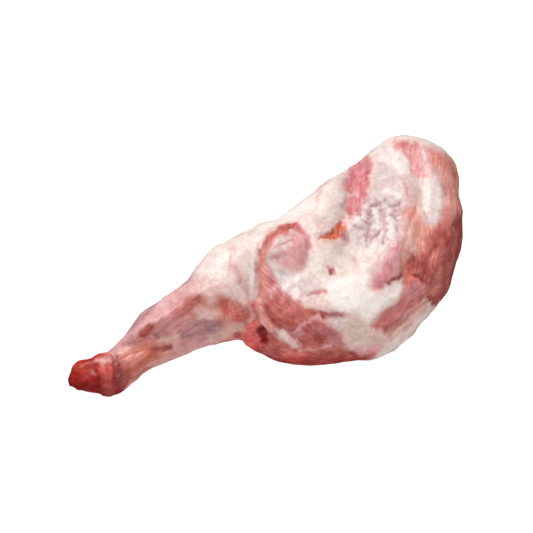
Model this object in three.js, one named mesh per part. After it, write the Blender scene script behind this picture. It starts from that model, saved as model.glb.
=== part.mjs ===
// A raw shoulder of lamb on the bone, lying on its outer side with the trimmed inner face up.
// Millimetres, +Z up. +X runs from the sawn shank end to the blade end, +Y is the straight outer edge.
// The origin is on the table, under the middle of the piece.
import * as THREE from "three";
import { mergeVertices } from "three/addons/utils/BufferGeometryUtils.js";

// Size of the whole piece as it lies.
const LENGTH = 422;
const WIDTH = 190;
const HEIGHT = 83;

// Skin grid: how many cells run round the limb and along it, and how often they are evened out.
const CELLS_ROUND = 72;
const CELLS_ALONG = 80;
const EVENING_ROUNDS = 12;

// A muscle is a tapered bundle between two points, with a radius at each.
const muscle = (name, from, fromRadius, to, toRadius) => ({
  name,
  from: new THREE.Vector3(...from),
  fromRadius,
  to: new THREE.Vector3(...to),
  toRadius,
});

const FORELEG = [
  muscle("knuckle", [-208, -20, 18], 14, [-198, -24, 17], 16),
  muscle("wrist", [-190, -34, 13], 11, [-182, -34, 13], 11),
  muscle("shank neck", [-184, -29, 16], 15, [-132, -26, 25], 21),
  muscle("shank", [-132, -26, 25], 21, [-81, -31, 34], 31),
  muscle("shank flexor", [-110, -29, 22], 17, [-64, -38, 30], 28),
  muscle("elbow", [-66, -33, 38], 33, [-16, -33, 38], 36),
  muscle("elbow fat", [-52, -24, 44], 31, [-24, -22, 44], 32),
];

const SHOULDER = [
  muscle("outer edge", [-30, -28, 40], 34, [150, -3, 30], 29),
  muscle("neck side", [-10, -44, 38], 35, [70, -44, 33], 34),
  muscle("belly", [-44, -78, 22], 26, [20, -105, 24], 31),
  muscle("lower strip", [-38, -90, 17], 23, [27, -129, 20], 25),
  muscle("near rim", [27, -129, 20], 25, [92, -104, 22], 27),
  muscle("end rim", [92, -104, 22], 27, [123, -76, 26], 28),
  muscle("blade end", [123, -76, 26], 28, [146, -44, 30], 29),
  muscle("blade corner", [146, -44, 30], 29, [170, -20, 36], 27),
  muscle("blade tip", [170, -20, 36], 27, [163, 2, 33], 28),
];

// The flat of the shoulder: an oval plate of meat over the blade bone.
const BLADE = { centre: new THREE.Vector3(54, -62, 26), length: 72, width: 34, turn: 0.22, thick: 39 };

// How wide the fillets are between bundles, between foreleg and shoulder, and round the foot.
const LEG_BLEND = 18;
const SHOULDER_BLEND = 16;
const JOIN_BLEND = 12;
const FOOT_BLEND = 10;

// Relief on the trimmed face: a rise above the surface (or a groove, if negative) along a path.
const relief = (name, rise, halfWidth, ...path) => ({
  name,
  rise,
  halfWidth,
  path: path.map((corner) => new THREE.Vector3(...corner)),
});

const RELIEF = [
  relief("elbow crease", -6, 8, [-14, -8, 76], [-30, -31, 80], [-51, -54, 69], [-58, -62, 62]),
  relief("notch bulge", 3, 12, [-54, -78, 58], [-58, -88, 46]),
  relief("eye muscle", 4, 20, [-15, -40, 78], [-5, -48, 77]),
  relief("eye seam", -4, 7, [-35, -50, 75], [-28, -64, 70], [-6, -68, 70], [12, -52, 73], [14, -34, 76]),
  relief("lower muscle", 4, 14, [-44, -78, 62], [-30, -104, 56], [-14, -118, 53]),
  relief("fat seam", -3.5, 7, [-56, -92, 42], [-44, -112, 38], [-22, -128, 36]),
  relief("far lobe", 4.5, 15, [50, -14, 70], [78, -2, 68]),
  relief("far hollow", -6, 9, [44, -46, 72], [66, -36, 71], [86, -14, 69], [112, 8, 60]),
  relief("centre hollow", -4, 16, [40, -76, 68], [58, -62, 68]),
  relief("blade strip", 4, 9, [33, -120, 62], [78, -93, 66]),
  relief("strip seam", -3.5, 7, [40, -134, 52], [84, -107, 62], [116, -82, 65], [148, -36, 66]),
  relief("rim roll", 4.5, 13, [172, -36, 62], [148, -78, 56], [110, -117, 50], [70, -140, 42]),
  relief("shank seam", -4, 7, [-176, -28, 36], [-144, -41, 42], [-106, -48, 51], [-75, -57, 63]),
  relief("flexor seam", -3, 7, [-139, -50, 30], [-107, -56, 36], [-80, -69, 40]),
  relief("shank top", 3, 10, [-150, -27, 46], [-104, -34, 62]),
  relief("wrist collar", -3, 7, [-182, -12, 26], [-180, -28, 34], [-182, -46, 22]),
  relief("far condyle", 3, 8, [-214, -12, 25], [-206, -12, 26]),
  relief("near condyle", 2, 8, [-212, -32, 13], [-204, -36, 14]),
  relief("joint groove", -3, 6, [-204, -26, 34], [-216, -24, 30], [-223, -22, 18]),
];

// How finely a surface point is found along its ray, and where its slope is felt.
const WALK_STEP = 1.5;
const HALVINGS = 24;
const SLOPE_PROBE = 0.4;
const SETTLING_STEPS = 3;
const FAR_AWAY = 1000;
const WELD = 0.001;

// Smooth union: the smaller of two distances, rounded over a width.
function soften(a, b, width) {
  const share = Math.max(width - Math.abs(a - b), 0) / width;
  return Math.min(a, b) - (share * share * width) / 4;
}

// How far along a straight run the nearest point to another point is, from 0 to 1.
const lift = new THREE.Vector3();
const run = new THREE.Vector3();
function nearestAlong(point, from, to) {
  lift.subVectors(point, from);
  run.subVectors(to, from);
  const along = THREE.MathUtils.clamp(lift.dot(run) / run.lengthSq(), 0, 1);
  lift.addScaledVector(run, -along);
  return along;
}

// Distance from a point to the surface of one muscle, negative inside it.
function muscleDistance(point, { from, to, fromRadius, toRadius }) {
  const along = nearestAlong(point, from, to);
  return lift.length() - THREE.MathUtils.lerp(fromRadius, toRadius, along);
}

function groupDistance(point, muscles, width) {
  return muscles.reduce((least, one) => soften(least, muscleDistance(point, one), width), FAR_AWAY);
}

// Distance to the blade's flat: out from its oval in plan, then up or down to half its thickness.
function bladeDistance(point) {
  lift.subVectors(point, BLADE.centre);
  const along = Math.cos(BLADE.turn) * lift.x + Math.sin(BLADE.turn) * lift.y;
  const across = Math.cos(BLADE.turn) * lift.y - Math.sin(BLADE.turn) * lift.x;
  const out = Math.hypot(along / BLADE.length, across / BLADE.width);
  const slope = Math.hypot(along / BLADE.length ** 2, across / BLADE.width ** 2);
  const plan = out > 1 ? (out * (out - 1)) / slope : 0;
  return Math.hypot(plan, lift.z) - BLADE.thick;
}

// How much one relief line raises the surface at a point: full on its path, fading to its sides.
function reliefRise(point, { rise, halfWidth, path }) {
  let nearest = FAR_AWAY;
  for (let i = 1; i < path.length; i += 1) {
    nearestAlong(point, path[i - 1], path[i]);
    nearest = Math.min(nearest, lift.length());
  }
  return rise * Math.exp(-((nearest / halfWidth) ** 2));
}

// Distance to the whole piece of meat, which rests on the flat z = 0.
function fleshDistance(point) {
  const leg = groupDistance(point, FORELEG, LEG_BLEND);
  const rim = groupDistance(point, SHOULDER, SHOULDER_BLEND);
  const body = soften(rim, bladeDistance(point), SHOULDER_BLEND);
  const smooth = soften(leg, body, JOIN_BLEND);
  const flesh = RELIEF.reduce((distance, line) => distance - reliefRise(point, line), smooth);
  return -soften(-flesh, point.z, FOOT_BLEND);
}

// The spine runs inside the meat; a flat paddle that widens along it is where the skin's rays start.
const SPINE = new THREE.CatmullRomCurve3([
  new THREE.Vector3(-204, -24, 17),
  new THREE.Vector3(-140, -28, 22),
  new THREE.Vector3(-80, -36, 34),
  new THREE.Vector3(-20, -54, 34),
  new THREE.Vector3(50, -66, 30),
  new THREE.Vector3(110, -54, 29),
  new THREE.Vector3(160, -36, 29),
]);
const PADDLE_HALF = 46;
const PADDLE_ROUND = 32;
const PADDLE_FROM = 0.28;
const PADDLE_FULL = 0.58;

// Shares of the skin's rings that close the two ends, and how far along the spine the blade's cap starts.
const SHANK_CAP = 0.09;
const BLADE_CAP = 0.24;
const BLADE_START = 0.86;

// Where a ring of the skin starts: its centre, heading, the paddle's half width, and its lean to an end.
function station(share) {
  const middle = 1 - SHANK_CAP - BLADE_CAP;
  const along = BLADE_START * THREE.MathUtils.clamp((share - SHANK_CAP) / middle, 0, 1);
  const intoShank = Math.max(1 - share / SHANK_CAP, 0);
  const intoBlade = Math.max((share - 1 + BLADE_CAP) / BLADE_CAP, 0);
  const lean = ((intoBlade - intoShank) * Math.PI) / 2;
  const reach = along + (1 - BLADE_START) * Math.max(Math.sin(lean), 0);
  const widened = THREE.MathUtils.smoothstep(along, PADDLE_FROM, PADDLE_FULL);
  return {
    centre: SPINE.getPointAt(reach),
    heading: SPINE.getTangentAt(reach),
    half: PADDLE_HALF * widened * Math.cos(lean),
    lean,
  };
}

// The ray of one grid point: out of the paddle's flat, or fanned round its edge.
function skinRay(round, share) {
  const { centre, heading, half, lean } = station(share);
  const flatRun = 2 * half;
  const edgeRun = Math.PI * PADDLE_ROUND;
  const left = round * 2 * (flatRun + edgeRun);
  let side = half;
  let turn = Math.PI / 2;
  if (left < flatRun) {
    side = left - half;
  } else if (left < flatRun + edgeRun) {
    turn -= (left - flatRun) / PADDLE_ROUND;
  } else if (left < 2 * flatRun + edgeRun) {
    side = flatRun + edgeRun + half - left;
    turn = -Math.PI / 2;
  } else {
    side = -half;
    turn = -Math.PI / 2 - (left - 2 * flatRun - edgeRun) / PADDLE_ROUND;
  }
  const across = new THREE.Vector3(-heading.y, heading.x, 0).normalize();
  const direction = across.clone().multiplyScalar(Math.cos(turn) * Math.cos(lean));
  direction.z = Math.sin(turn) * Math.cos(lean);
  direction.addScaledVector(heading, Math.sin(lean));
  return new THREE.Ray(centre.addScaledVector(across, side), direction.normalize());
}

// Walks out along a ray to the surface, then halves the last step until it is exact.
function surfacePoint(outward) {
  const point = new THREE.Vector3();
  let inside = 0;
  let outside = 0;
  while (fleshDistance(outward.at(outside, point)) < 0) {
    inside = outside;
    outside += WALK_STEP;
  }
  for (let step = 0; step < HALVINGS; step += 1) {
    const middle = (inside + outside) / 2;
    if (fleshDistance(outward.at(middle, point)) < 0) inside = middle;
    else outside = middle;
  }
  return outward.at(outside, point);
}

// Moves a point straight back onto the surface, down the slope of the distance.
const probe = new THREE.Vector3();
function settle(point) {
  const slope = new THREE.Vector3();
  for (let step = 0; step < SETTLING_STEPS; step += 1) {
    const here = fleshDistance(point);
    for (const axis of ["x", "y", "z"]) {
      probe.copy(point)[axis] += SLOPE_PROBE;
      slope[axis] = (fleshDistance(probe) - here) / SLOPE_PROBE;
    }
    point.addScaledVector(slope, -here / slope.lengthSq());
  }
  return point;
}

// Evens the skin out: each point goes to the middle of its neighbours, then back onto the surface.
function evenOut(skin) {
  const { position } = skin.attributes;
  const neighbours = Array.from({ length: position.count }, () => new Set());
  for (let i = 0; i < skin.index.count; i += 3) {
    const corners = [0, 1, 2].map((corner) => skin.index.getX(i + corner));
    for (const one of corners) corners.forEach((other) => one !== other && neighbours[one].add(other));
  }
  const neighbour = new THREE.Vector3();
  for (let round = 0; round < EVENING_ROUNDS; round += 1) {
    const middles = neighbours.map((around) => {
      const middle = new THREE.Vector3();
      for (const i of around) middle.add(neighbour.fromBufferAttribute(position, i));
      return middle.divideScalar(around.size);
    });
    middles.forEach((middle, i) => position.setXYZ(i, ...settle(middle)));
  }
}

// The skin in the piece's own frame: at its full size, standing on the table over the origin.
function placeOnTable(skin) {
  skin.computeBoundingBox();
  const size = skin.boundingBox.getSize(new THREE.Vector3());
  const middle = skin.boundingBox.getCenter(new THREE.Vector3());
  skin.translate(-middle.x, -middle.y, -skin.boundingBox.min.z);
  skin.scale(LENGTH / size.x, WIDTH / size.y, HEIGHT / size.z);
}

function fleshGeometry() {
  const grid = new THREE.SphereGeometry(1, CELLS_ROUND, CELLS_ALONG);
  const { position, uv } = grid.attributes;
  for (let i = 0; i < position.count; i += 1) {
    const share = Math.round((1 - uv.getY(i)) * CELLS_ALONG) / CELLS_ALONG;
    const round = share > 0 && share < 1 ? uv.getX(i) % 1 : 0;
    position.setXYZ(i, ...surfacePoint(skinRay(round, share)));
  }
  grid.deleteAttribute("normal");
  grid.deleteAttribute("uv");
  const skin = mergeVertices(grid, WELD);
  evenOut(skin);
  placeOnTable(skin);
  return skin;
}

const meat = new THREE.Mesh(
  fleshGeometry(),
  new THREE.MeshStandardMaterial({ color: 0xc9857f, roughness: 0.45, metalness: 0 }),
);
meat.name = "lamb_shoulder";

const shoulder = new THREE.Group();
shoulder.add(meat);

export default shoulder;
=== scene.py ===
# %% [markdown]
# A raw shoulder of lamb on the bone, lying on its outer side with the trimmed inner face up. The part's
# solid already has its size and main forms. A sculptor could finish it with brushes. Here it is dressed in
# steps that can be read and changed: tissues are laid out on a denser copy, the copy gets the finer relief,
# and the tissues get a moist finish.

# %% Load the solid
import math

import bmesh
import bpy
import numpy as np
from mathutils import Matrix, Vector, noise


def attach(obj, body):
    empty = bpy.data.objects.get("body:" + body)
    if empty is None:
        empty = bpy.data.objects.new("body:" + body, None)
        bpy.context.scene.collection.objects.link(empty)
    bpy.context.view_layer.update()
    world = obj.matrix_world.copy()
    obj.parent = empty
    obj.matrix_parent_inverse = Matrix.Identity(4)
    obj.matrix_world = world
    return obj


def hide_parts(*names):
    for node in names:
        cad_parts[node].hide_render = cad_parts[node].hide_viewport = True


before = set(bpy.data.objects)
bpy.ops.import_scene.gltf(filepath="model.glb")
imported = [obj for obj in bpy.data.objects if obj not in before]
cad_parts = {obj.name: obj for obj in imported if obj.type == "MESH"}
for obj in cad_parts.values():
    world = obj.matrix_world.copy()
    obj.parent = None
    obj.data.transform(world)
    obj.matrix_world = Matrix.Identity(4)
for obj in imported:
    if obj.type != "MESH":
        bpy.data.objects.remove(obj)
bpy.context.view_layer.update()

scene = bpy.context.scene
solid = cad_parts["lamb_shoulder"]

# %% [markdown]
# The camera comes first, because the tissues are placed by where they show in its picture. It could be
# flown there by hand, but two angles and a distance are easier to change. It looks down at the trimmed face
# with a long lens, so the joint hardly narrows towards its far edge. The lens follows from how much of the
# object one pixel covers at the aim point.

# %% Camera
IMAGE_SIDE = 533
AZIMUTH = math.radians(-36)
ELEVATION = math.radians(50)
DISTANCE = 1.5
PIXEL = 0.00093
AIM = Vector((0.0100, 0.0631, 0.0))
SENSOR_MM = 36.0

to_camera = Vector((
    math.sin(AZIMUTH) * math.cos(ELEVATION),
    -math.cos(AZIMUTH) * math.cos(ELEVATION),
    math.sin(ELEVATION),
))
picture_right = Vector((math.cos(AZIMUTH), math.sin(AZIMUTH), 0.0))
picture_up = to_camera.cross(picture_right)

lens = bpy.data.cameras.new("camera")
lens.sensor_width = SENSOR_MM
lens.lens = SENSOR_MM * DISTANCE / (IMAGE_SIDE * PIXEL)
camera = bpy.data.objects.new("camera", lens)
camera_turn = Matrix((picture_right, picture_up, to_camera)).transposed().to_4x4()
camera.matrix_world = Matrix.Translation(AIM + DISTANCE * to_camera) @ camera_turn
scene.collection.objects.link(camera)
bpy.context.scene.camera = camera
print("lens", round(lens.lens, 1), "mm")

# %% [markdown]
# The light is a soft studio. An image of a studio could surround the joint, but a plain sky is easier to
# steer. It is darker low down, which gives the sides a little shade, and it is hidden from reflections, or
# the wet edges would mirror it. The Standard view shows the colours as they are set.

# %% Sky
SKY_HEIGHTS = (-0.1, 0.5)
SKY_LIGHT = (0.18, 0.42)
WHITE = (1.0, 1.0, 1.0, 1.0)

scene.view_settings.view_transform = "Standard"
scene.view_settings.look = "None"
world = bpy.data.worlds.new("sky")
world.use_nodes = True
sky = world.node_tree
height_up = sky.nodes.new("ShaderNodeSeparateXYZ")
sky.links.new(sky.nodes.new("ShaderNodeTexCoord").outputs["Generated"], height_up.inputs[0])
sky_ramp = sky.nodes.new("ShaderNodeMapRange")
sky_ramp.interpolation_type = "SMOOTHSTEP"
sky.links.new(height_up.outputs["Z"], sky_ramp.inputs["Value"])
for socket, value in zip(("From Min", "From Max", "To Min", "To Max"), SKY_HEIGHTS + SKY_LIGHT):
    sky_ramp.inputs[socket].default_value = value
sky.links.new(sky_ramp.outputs["Result"], sky.nodes["Background"].inputs["Strength"])
sky.nodes["Background"].inputs["Color"].default_value = WHITE
scene.world = world
world.cycles_visibility.glossy = False
print("sky from", SKY_LIGHT[0], "to", SKY_LIGHT[1])

# %% [markdown]
# In the picture the ground is white right up to the joint. A brightly lit sheet could give that, but the
# light would wash out the fat as well, so the sheet glows by itself. It too is hidden from reflections.

# %% Ground
FLOOR_SIDE = 24.0
FLOOR_PAINT = (0.3, 0.3, 0.3, 1.0)
FLOOR_ROUGHNESS = 0.9
FLOOR_GLOW = 0.9

floor_mesh = bpy.data.meshes.new("floor")
floor_shape = bmesh.new()
bmesh.ops.create_grid(floor_shape, x_segments=1, y_segments=1, size=FLOOR_SIDE / 2)
floor_shape.to_mesh(floor_mesh)
floor_shape.free()
floor = bpy.data.objects.new("floor", floor_mesh)
scene.collection.objects.link(floor)
floor_paint = bpy.data.materials.new("white_ground")
floor_paint.use_nodes = True
floor_surface = floor_paint.node_tree.nodes["Principled BSDF"]
floor_surface.inputs["Base Color"].default_value = FLOOR_PAINT
floor_surface.inputs["Roughness"].default_value = FLOOR_ROUGHNESS
floor_surface.inputs["Emission Color"].default_value = WHITE
floor_surface.inputs["Emission Strength"].default_value = FLOOR_GLOW
floor_mesh.materials.append(floor_paint)
floor.visible_glossy = False
print("ground", FLOOR_SIDE, "m wide")

# %% [markdown]
# Four lamps model the form. The key light stands above on the left, the fill light on the right near the
# camera. A small lamp behind gives the wet gleam. The back light lifts the far edge until it nearly melts
# into the ground, and is hidden from reflections like the sky. Sun lamps would be simpler, but square area
# lights have the soft shadows of a studio.

# %% Lamps
# the direction as shares of right, away and up, then distance, side of the square and watts
LAMPS = {
    "key": ((-0.5, 0.25, 1.0), 1.6, 0.6, 13),
    "fill": ((0.45, -0.65, 0.7), 1.8, 1.2, 9),
    "gleam": ((-0.2, 0.62, 0.78), 1.6, 0.3, 7),
    "back": ((-0.35, 1.0, 0.5), 1.8, 1.2, 7),
}
MIRRORED_LAMPS = ("key", "fill", "gleam")

away = Vector((-to_camera.x, -to_camera.y, 0.0)).normalized()
up = Vector((0.0, 0.0, 1.0))
for name, (shares, distance, side, watts) in LAMPS.items():
    direction = shares[0] * picture_right + shares[1] * away + shares[2] * up
    lamp = bpy.data.lights.new(name, "AREA")
    lamp.shape = "SQUARE"
    lamp.size = side
    lamp.energy = watts
    stand = bpy.data.objects.new(name, lamp)
    stand.location = AIM + distance * direction.normalized()
    stand.rotation_euler = direction.to_track_quat("Z", "Y").to_euler()
    stand.visible_glossy = name in MIRRORED_LAMPS
    scene.collection.objects.link(stand)
print("lamps", list(LAMPS))

# %% [markdown]
# The flesh is one closed skin, a denser copy of the solid. Remeshing could make it too, but would blur the
# edges. Here the copy's loose triangles are merged at their corners and paired into quads, because a
# Subdivision Surface rounds quads more evenly than triangles. Two levels leave a point about every one and
# a half millimetres, fine enough for seams, fat edges and bundles of fibres.

# %% Flesh mesh
WELD = 1e-5
ANY_ANGLE = math.pi
SUBDIVISIONS = 2

shape = bmesh.new()
shape.from_mesh(solid.data)
bmesh.ops.remove_doubles(shape, verts=shape.verts, dist=WELD)
bmesh.ops.join_triangles(
    shape, faces=shape.faces, angle_face_threshold=ANY_ANGLE, angle_shape_threshold=ANY_ANGLE
)
cage = bpy.data.meshes.new("flesh_cage")
shape.to_mesh(cage)
shape.free()

flesh = bpy.data.objects.new("lamb_shoulder_flesh", cage)
scene.collection.objects.link(flesh)
rounding = flesh.modifiers.new("rounding", "SUBSURF")
rounding.levels = SUBDIVISIONS
rounding.render_levels = SUBDIVISIONS
rounded = flesh.evaluated_get(bpy.context.evaluated_depsgraph_get())
mesh = bpy.data.meshes.new_from_object(rounded)
flesh.modifiers.clear()
flesh.data = mesh
mesh.name = "lamb_shoulder_flesh"
bpy.data.meshes.remove(cage)
count = len(mesh.vertices)
print("flesh", count, "points,", sum(len(face.vertices) - 2 for face in mesh.polygons), "triangles")

# %% [markdown]
# A patch of fat or a streak of lean could be painted on a texture. Here each is placed by the pixels where
# it shows, so that a look at the picture is enough to move it. For that every point of the flesh is looked
# up in the camera's picture. Points that face away keep the outer side's cover, and noise makes that border
# uneven.

# %% Where each point shows
SEED_STEPS = (7.1, 3.3, 5.7)
SEEN_FACING = (-0.55, -0.10)
SEEN_UNEVEN = ((28, 0.30), (80, 0.15))
SEEN_SEED = 31


def smoothstep(low, high, value):
    """0 at low, 1 at high, and a soft passage between them."""
    share = np.clip((value - low) / (high - low), 0.0, 1.0)
    return share * share * (3.0 - 2.0 * share)


def noise_at(points, per_metre, seed):
    """Smooth noise from about -1 to 1 at each point. Each seed gives another pattern."""
    shift = Vector([seed * step for step in SEED_STEPS])
    return np.array([noise.noise(Vector(point) * per_metre + shift) for point in points])


def point_rows(source, slot):
    """Three numbers for each point of the mesh."""
    values = np.empty(count * 3, np.float32)
    source.foreach_get(slot, values)
    return values.reshape(count, 3).astype(float)


place = point_rows(mesh.vertices, "co")
outward = point_rows(mesh.vertex_normals, "vector")
facing = outward @ np.array(to_camera)
turned = facing.copy()
for number, (per_metre, reach) in enumerate(SEEN_UNEVEN):
    turned += reach * noise_at(place, per_metre, SEEN_SEED + number)
seen = smoothstep(*SEEN_FACING, turned)

offset = place - np.array(AIM)
depth = DISTANCE - offset @ np.array(to_camera)
focal = DISTANCE / PIXEL
pixel = np.stack([
    IMAGE_SIDE / 2 + focal * (offset @ np.array(picture_right)) / depth,
    IMAGE_SIDE / 2 - focal * (offset @ np.array(picture_up)) / depth,
], axis=1)
print("picture spans from", pixel.min(axis=0).round(), "to", pixel.max(axis=0).round())

# %% [markdown]
# Two masks place everything. A patch fills an outline, and a streak follows a line. Vertex groups painted
# by hand could hold them too, but masks that are worked out from a few points fit any density of the mesh.

# %% Masks
TINY = 1e-9


def near_line(points, path):
    """Distance in pixels from each point to a line of straight runs."""
    best = np.full(len(points), np.inf)
    for start, end in zip(path[:-1], path[1:]):
        run = np.subtract(end, start)
        along = np.clip((points - start) @ run / max(run @ run, TINY), 0.0, 1.0)
        best = np.minimum(best, np.linalg.norm(points - start - along[:, None] * run, axis=1))
    return best


def inside_outline(points, outline):
    """True for each point inside a closed outline, counted by how often a ray crosses it."""
    inside = np.zeros(len(points), bool)
    for (x0, y0), (x1, y1) in zip(outline, outline[1:] + outline[:1]):
        spans = (y0 > points[:, 1]) != (y1 > points[:, 1])
        crossing = (x1 - x0) * (points[:, 1] - y0) / ((y1 - y0) or TINY) + x0
        inside ^= spans & (points[:, 0] < crossing)
    return inside


def patch_mask(points, outline, soft, reach=0.0):
    """1 inside an outline and 0 outside, with a soft edge that a reach moves outwards."""
    gap = near_line(points, outline + outline[:1])
    inward = reach + np.where(inside_outline(points, outline), gap, -gap)
    return seen * smoothstep(-soft, soft, inward)


def streak_mask(points, path, half_width, soft):
    """1 along a line and 0 beyond its width, with soft edges."""
    return seen * smoothstep(half_width + soft, half_width - soft, near_line(points, path))


print("seen points", int((seen > 0.5).sum()))

# %% [markdown]
# Each muscle's fibres run their own way: along the shank, slanting over the blade, across the inner fan.
# One direction for all would be simpler, but meat is known by its changing grain. So each muscle has an
# angle in plan, and every point holds a share of each.

# %% Fibre directions
# the angle in plan in degrees, and the share to which lengths along the fibres shrink before noise is read
GRAINS = {
    "blade": (48, 0.14),
    "shank": (0, 0.14),
    "inner": (97, 0.14),
    "band": (14, 0.14),
    "near": (-36, 0.14),
    "knuckle": (0, 0.6),
}
GRAIN_OUTLINES = {
    "inner": [
        (256, 268), (272, 262), (320, 300), (352, 322), (346, 350), (300, 350), (262, 334), (254, 300)],
    "band": [(366, 318), (400, 292), (430, 282), (446, 306), (400, 362), (370, 362)],
}
NEAR_LINE = [(250, 352), (290, 360), (350, 360), (380, 352)]
NEAR_HALF_WIDTH = 9.0
GRAIN_SOFT = 8.0
SHANK_TO = -0.075
SHANK_FADE = 0.03
SHANK_UNEVEN = 0.03
SHANK_UNEVEN_PER_METRE = 35
KNUCKLE_TO = -0.176
END_FADE = 0.012

grain_share = {grain: np.zeros(count) for grain in GRAINS}
grain_share["blade"] += 1.0


def direct(grain, mask):
    """Turns the fibres to a muscle's own way, as far as the mask says."""
    for other in GRAINS:
        grain_share[other] *= 1.0 - mask
    grain_share[grain] += mask


shank_end = place[:, 0] + SHANK_UNEVEN * noise_at(place, SHANK_UNEVEN_PER_METRE, seed=33)
shank_share = smoothstep(SHANK_TO + SHANK_FADE, SHANK_TO - SHANK_FADE, shank_end)
knuckle_share = smoothstep(KNUCKLE_TO + END_FADE, KNUCKLE_TO - END_FADE, place[:, 0])
for grain, outline in GRAIN_OUTLINES.items():
    direct(grain, patch_mask(pixel, outline, GRAIN_SOFT))
direct("near", streak_mask(pixel, NEAR_LINE, NEAR_HALF_WIDTH, GRAIN_SOFT))
direct("shank", shank_share)
direct("knuckle", knuckle_share)
print("points by grain", {grain: int(share.sum()) for grain, share in grain_share.items()})

# %% [markdown]
# On real meat the edge of a film of fat frays along the fibres under it. Outlines with hundreds of points
# could copy that, but it is quicker to push the places in the picture to and fro along the fibres, and all
# ways a little, before any patch is laid.

# %% Frayed places
WANDER = ((45, 2.5), (110, 2.0), (260, 1.4))
WANDER_SEEDS = (1, 5)
SHANK_CALM = 0.5
FRAY = 2.6
FRAY_PER_METRE = 240
FRAY_SEED = 41


def bundles(grain, per_metre, seed):
    """Noise drawn out along a muscle's fibres."""
    degrees, stretch = GRAINS[grain]
    turn = math.radians(degrees)
    along = place[:, 0] * math.cos(turn) + place[:, 1] * math.sin(turn)
    across = place[:, 1] * math.cos(turn) - place[:, 0] * math.sin(turn)
    drawn = np.stack([stretch * along, across, place[:, 2]], axis=1)
    return noise_at(drawn, per_metre, seed)


def fibre_noise(per_metre, seed):
    """Noise drawn out along whichever fibres run through each point."""
    total = np.zeros(count)
    for number, grain in enumerate(GRAINS):
        total += grain_share[grain] * bundles(grain, per_metre, seed + number)
    return total


ragged = pixel.copy()
for number, (per_metre, reach) in enumerate(WANDER):
    reach_here = reach * (1.0 - SHANK_CALM * shank_share)
    for axis, seed in enumerate(WANDER_SEEDS):
        ragged[:, axis] += reach_here * noise_at(place, per_metre, seed + number)
for number, (grain, (degrees, stretch)) in enumerate(GRAINS.items()):
    fibre = Vector((math.cos(math.radians(degrees)), math.sin(math.radians(degrees)), 0.0))
    shown = np.array((fibre.dot(picture_right), -fibre.dot(picture_up)))
    push = FRAY * grain_share[grain] * bundles(grain, FRAY_PER_METRE, FRAY_SEED + number)
    ragged += push[:, None] * shown / np.linalg.norm(shown)
print("frayed by up to", np.abs(ragged - pixel).max().round(1), "pixels")

# %% [markdown]
# A butcher would tell many tissues apart on this joint. Fats and skins lie as a film over the lean: fat,
# whiter fat, fat so thin that pink shows through, cream-coloured fat, clear membrane, and pink and rose
# skin. Each could be a material of its own, but they fade into each other, so every point holds an amount
# of each. Colours are written as they look on screen and turned into the linear values that shaders use.

# %% Tissues
# the light tone, the dark tone, the roughness and how many millimetres it stands above the lean
LIGHT, DARK, ROUGHNESS, HEIGHT = range(4)
FILMS = {
    "fat": ((235, 222, 214), (216, 197, 189), 0.42, 1.2),
    # whiter fat, whose tone also serves for painted highlights and painted light
    "white_fat_and_painted_light": ((250, 242, 237), (236, 224, 217), 0.42, 1.2),
    "thin_fat": ((232, 202, 195), (216, 174, 167), 0.38, 0.8),
    "cream": ((222, 194, 180), (198, 162, 148), 0.46, 1.1),
    "membrane": ((226, 207, 205), (200, 174, 174), 0.26, 0.5),
    "pink_skin": ((216, 158, 160), (190, 126, 130), 0.32, 0.4),
    "rose_skin": ((236, 174, 172), (218, 148, 147), 0.32, 0.4),
}
LEANS = {
    "lean": ((206, 118, 110), (174, 82, 76), 0.34, 0.0),
    "dark_lean": ((170, 80, 74), (136, 50, 47), 0.36, -0.2),
    "pink_lean": ((218, 140, 146), (190, 103, 112), 0.34, -0.3),
    "purple_lean": ((212, 152, 155), (186, 120, 125), 0.32, 0.0),
    "salmon": ((220, 154, 142), (196, 120, 108), 0.42, 0.0),
    "dry_lean": ((232, 164, 151), (202, 126, 112), 0.44, 0.0),
    "sheath": ((182, 136, 140), (150, 106, 112), 0.28, 0.2),
    "orange_cut": ((214, 116, 90), (188, 82, 60), 0.40, -0.8),
    "wet_red": ((240, 122, 116), (212, 82, 78), 0.22, 0.3),
    "blood": ((188, 42, 30), (146, 20, 15), 0.5, 0.0),
    "clot": ((146, 10, 12), (100, 4, 6), 0.42, -0.5),
}
TISSUES = {**FILMS, **LEANS}
amount = {tissue: np.zeros(count) for tissue in TISSUES}


def linear(screen):
    """A colour as it looks on screen (0 to 255) as linear red, green and blue, by the usual screen curve."""
    shares = np.array(screen) / 255
    return np.where(shares <= 0.04045, shares / 12.92, ((shares + 0.055) / 1.055) ** 2.4)


def lay(tissue, mask):
    """Covers what was there with a tissue, as far as the mask says."""
    for other in TISSUES:
        amount[other] *= 1.0 - mask
    amount[tissue] += mask


def film_now():
    """How much film covers the lean at each point so far."""
    return sum(amount[tissue] for tissue in FILMS)


print("films", list(FILMS), "leans", list(LEANS))

# %% [markdown]
# The outer side was covered by the animal's fat and skin. The picture doesn't show it, so it could stay
# plain, but the part may be turned over. It gets what a shoulder has there: a white fat cover with thinner
# windows where pink shines through, a leaner shank and a bloody knuckle. Islands of each tissue come from
# noise.

# %% Outer side
OUTER_SHANK = 0.8
OUTER_KNUCKLE = 0.9


def islands(tissue, where, share, per_metre, seed, start, full, drawn_out=False):
    """Lays a tissue where noise, round or drawn out along the fibres, rises from a start to full."""
    values = fibre_noise(per_metre, seed) if drawn_out else noise_at(place, per_metre, seed)
    lay(tissue, share * where * smoothstep(start, full, values))


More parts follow.
